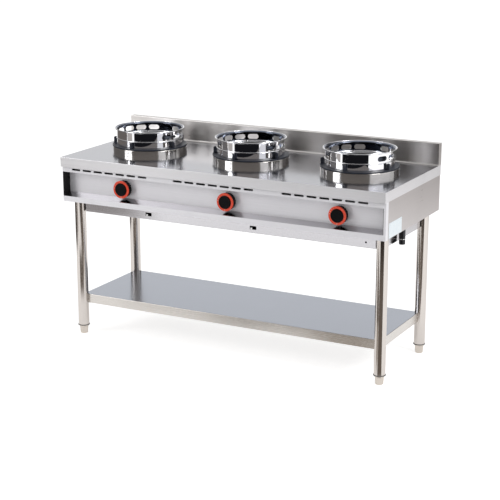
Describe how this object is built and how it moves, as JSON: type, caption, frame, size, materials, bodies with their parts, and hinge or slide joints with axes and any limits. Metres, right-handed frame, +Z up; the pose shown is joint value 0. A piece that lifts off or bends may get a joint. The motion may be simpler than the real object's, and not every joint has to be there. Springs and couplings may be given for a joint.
{
  "type": "wok range",
  "caption": "Free-standing stainless gas wok range: worktop with slotted wok rings, backsplash, recessed knobs, and an open tube stand with an undershelf and screw feet.",
  "frame": {"origin": "on the floor under the middle of the range", "axes": "+X to the right of a person in front, -Y is the front, +Z up"},
  "size_m": [1.5, 0.6, 0.9051],
  "materials": {
    "worktop_steel": "satin, glossy",
    "splash_steel": "brushed upright",
    "casing_steel": "satin",
    "panel_steel": "satin",
    "rail_steel": "satin",
    "inner_steel": "mill",
    "collar_steel": "turned, bright",
    "ring_steel": "turned, bright",
    "leg_steel": "polished tube",
    "shelf_steel": "satin",
    "foot_nickel": "warm nickel",
    "fixings": "zinc plated",
    "cast": "rough cast, dark",
    "black_paint": "satin black",
    "pipe_black": "satin black",
    "brass": "machined",
    "knob_black": "satin black",
    "knob_red": "satin red",
    "plate_blank": "blank, pale",
    "insert_grey": "satin"
  },
  "bodies": {
    "casing_and_stand": {"worktop": "worktop_steel", "backsplash": "splash_steel", "control_panel": "casing_steel", "side_panel_left": "panel_steel", "side_panel_right": "panel_steel", "rear_panel": "inner_steel", "base_pan": "inner_steel", "burner_brackets": "inner_steel", "shelf_stiffeners": "inner_steel", "leg_brackets": "inner_steel", "front_rail": "rail_steel", "rear_rail": "rail_steel", "side_rail_left": "rail_steel", "side_rail_right": "rail_steel", "recess_end_caps": "black_paint", "rating_plate": "plate_blank", "dome_screws": "fixings", "stand_bolts": "fixings", "gas_manifold": "pipe_black", "gas_inlet": "pipe_black", "undershelf": "shelf_steel", "gas_jets": "brass", "gas_feeds": "brass", "pilot_burners": "cast", "leg_inserts": "insert_grey", "burner_collar_1": "collar_steel", "burner_head_1": "cast", "burner_mixer_1": "cast", "gas_valve_1": "brass", "burner_collar_2": "collar_steel", "burner_head_2": "cast", "burner_mixer_2": "cast", "gas_valve_2": "brass", "burner_collar_3": "collar_steel", "burner_head_3": "cast", "burner_mixer_3": "cast", "gas_valve_3": "brass", "leg_front_left": "leg_steel", "leg_front_right": "leg_steel", "leg_rear_left": "leg_steel", "leg_rear_right": "leg_steel"},
    "pan_support_1": {"pan_support_1": "cast"},
    "wok_ring_1": {"wok_ring_1": "ring_steel"},
    "valve_stem_1": {"valve_stem_1": "fixings"},
    "knob_1": {"knob_1": "knob_black", "knob_ring_1": "knob_red"},
    "pan_support_2": {"pan_support_2": "cast"},
    "wok_ring_2": {"wok_ring_2": "ring_steel"},
    "valve_stem_2": {"valve_stem_2": "fixings"},
    "knob_2": {"knob_2": "knob_black", "knob_ring_2": "knob_red"},
    "pan_support_3": {"pan_support_3": "cast"},
    "wok_ring_3": {"wok_ring_3": "ring_steel"},
    "valve_stem_3": {"valve_stem_3": "fixings"},
    "knob_3": {"knob_3": "knob_black", "knob_ring_3": "knob_red"},
    "foot_front_left": {"foot_front_left": "foot_nickel"},
    "foot_front_right": {"foot_front_right": "foot_nickel"},
    "foot_rear_left": {"foot_rear_left": "foot_nickel"},
    "foot_rear_right": {"foot_rear_right": "foot_nickel"}
  },
  "joints": [
    {"name": "pan_support_1_lift", "type": "slide", "parent": "casing_and_stand", "child": "pan_support_1", "axis": [0, 0, 1], "range_m": [0, 0.08]},
    {"name": "wok_ring_1_lift", "type": "slide", "parent": "pan_support_1", "child": "wok_ring_1", "axis": [0, 0, 1], "range_m": [0, 0.08]},
    {"name": "gas_tap_1_turn", "type": "hinge", "parent": "casing_and_stand", "child": "valve_stem_1", "pos_m": [-0.465, -0.25, 0.685], "axis": [0, -1, 0], "range_deg": [0, 210]},
    {"name": "knob_1_push", "type": "slide", "parent": "valve_stem_1", "child": "knob_1", "axis": [0, 1, 0], "range_m": [0, 0.003], "stiffness_N_per_m": 900, "springref_m": -0.003},
    {"name": "pan_support_2_lift", "type": "slide", "parent": "casing_and_stand", "child": "pan_support_2", "axis": [0, 0, 1], "range_m": [0, 0.08]},
    {"name": "wok_ring_2_lift", "type": "slide", "parent": "pan_support_2", "child": "wok_ring_2", "axis": [0, 0, 1], "range_m": [0, 0.08]},
    {"name": "gas_tap_2_turn", "type": "hinge", "parent": "casing_and_stand", "child": "valve_stem_2", "pos_m": [0.035, -0.25, 0.685], "axis": [0, -1, 0], "range_deg": [0, 210]},
    {"name": "knob_2_push", "type": "slide", "parent": "valve_stem_2", "child": "knob_2", "axis": [0, 1, 0], "range_m": [0, 0.003], "stiffness_N_per_m": 900, "springref_m": -0.003},
    {"name": "pan_support_3_lift", "type": "slide", "parent": "casing_and_stand", "child": "pan_support_3", "axis": [0, 0, 1], "range_m": [0, 0.08]},
    {"name": "wok_ring_3_lift", "type": "slide", "parent": "pan_support_3", "child": "wok_ring_3", "axis": [0, 0, 1], "range_m": [0, 0.08]},
    {"name": "gas_tap_3_turn", "type": "hinge", "parent": "casing_and_stand", "child": "valve_stem_3", "pos_m": [0.535, -0.25, 0.685], "axis": [0, -1, 0], "range_deg": [0, 210]},
    {"name": "knob_3_push", "type": "slide", "parent": "valve_stem_3", "child": "knob_3", "axis": [0, 1, 0], "range_m": [0, 0.003], "stiffness_N_per_m": 900, "springref_m": -0.003},
    {"name": "foot_front_left_screw", "type": "slide", "parent": "casing_and_stand", "child": "foot_front_left", "axis": [0, 0, -1], "range_m": [0, 0.025]},
    {"name": "foot_front_right_screw", "type": "slide", "parent": "casing_and_stand", "child": "foot_front_right", "axis": [0, 0, -1], "range_m": [0, 0.025]},
    {"name": "foot_rear_left_screw", "type": "slide", "parent": "casing_and_stand", "child": "foot_rear_left", "axis": [0, 0, -1], "range_m": [0, 0.025]},
    {"name": "foot_rear_right_screw", "type": "slide", "parent": "casing_and_stand", "child": "foot_rear_right", "axis": [0, 0, -1], "range_m": [0, 0.025]}
  ]
}
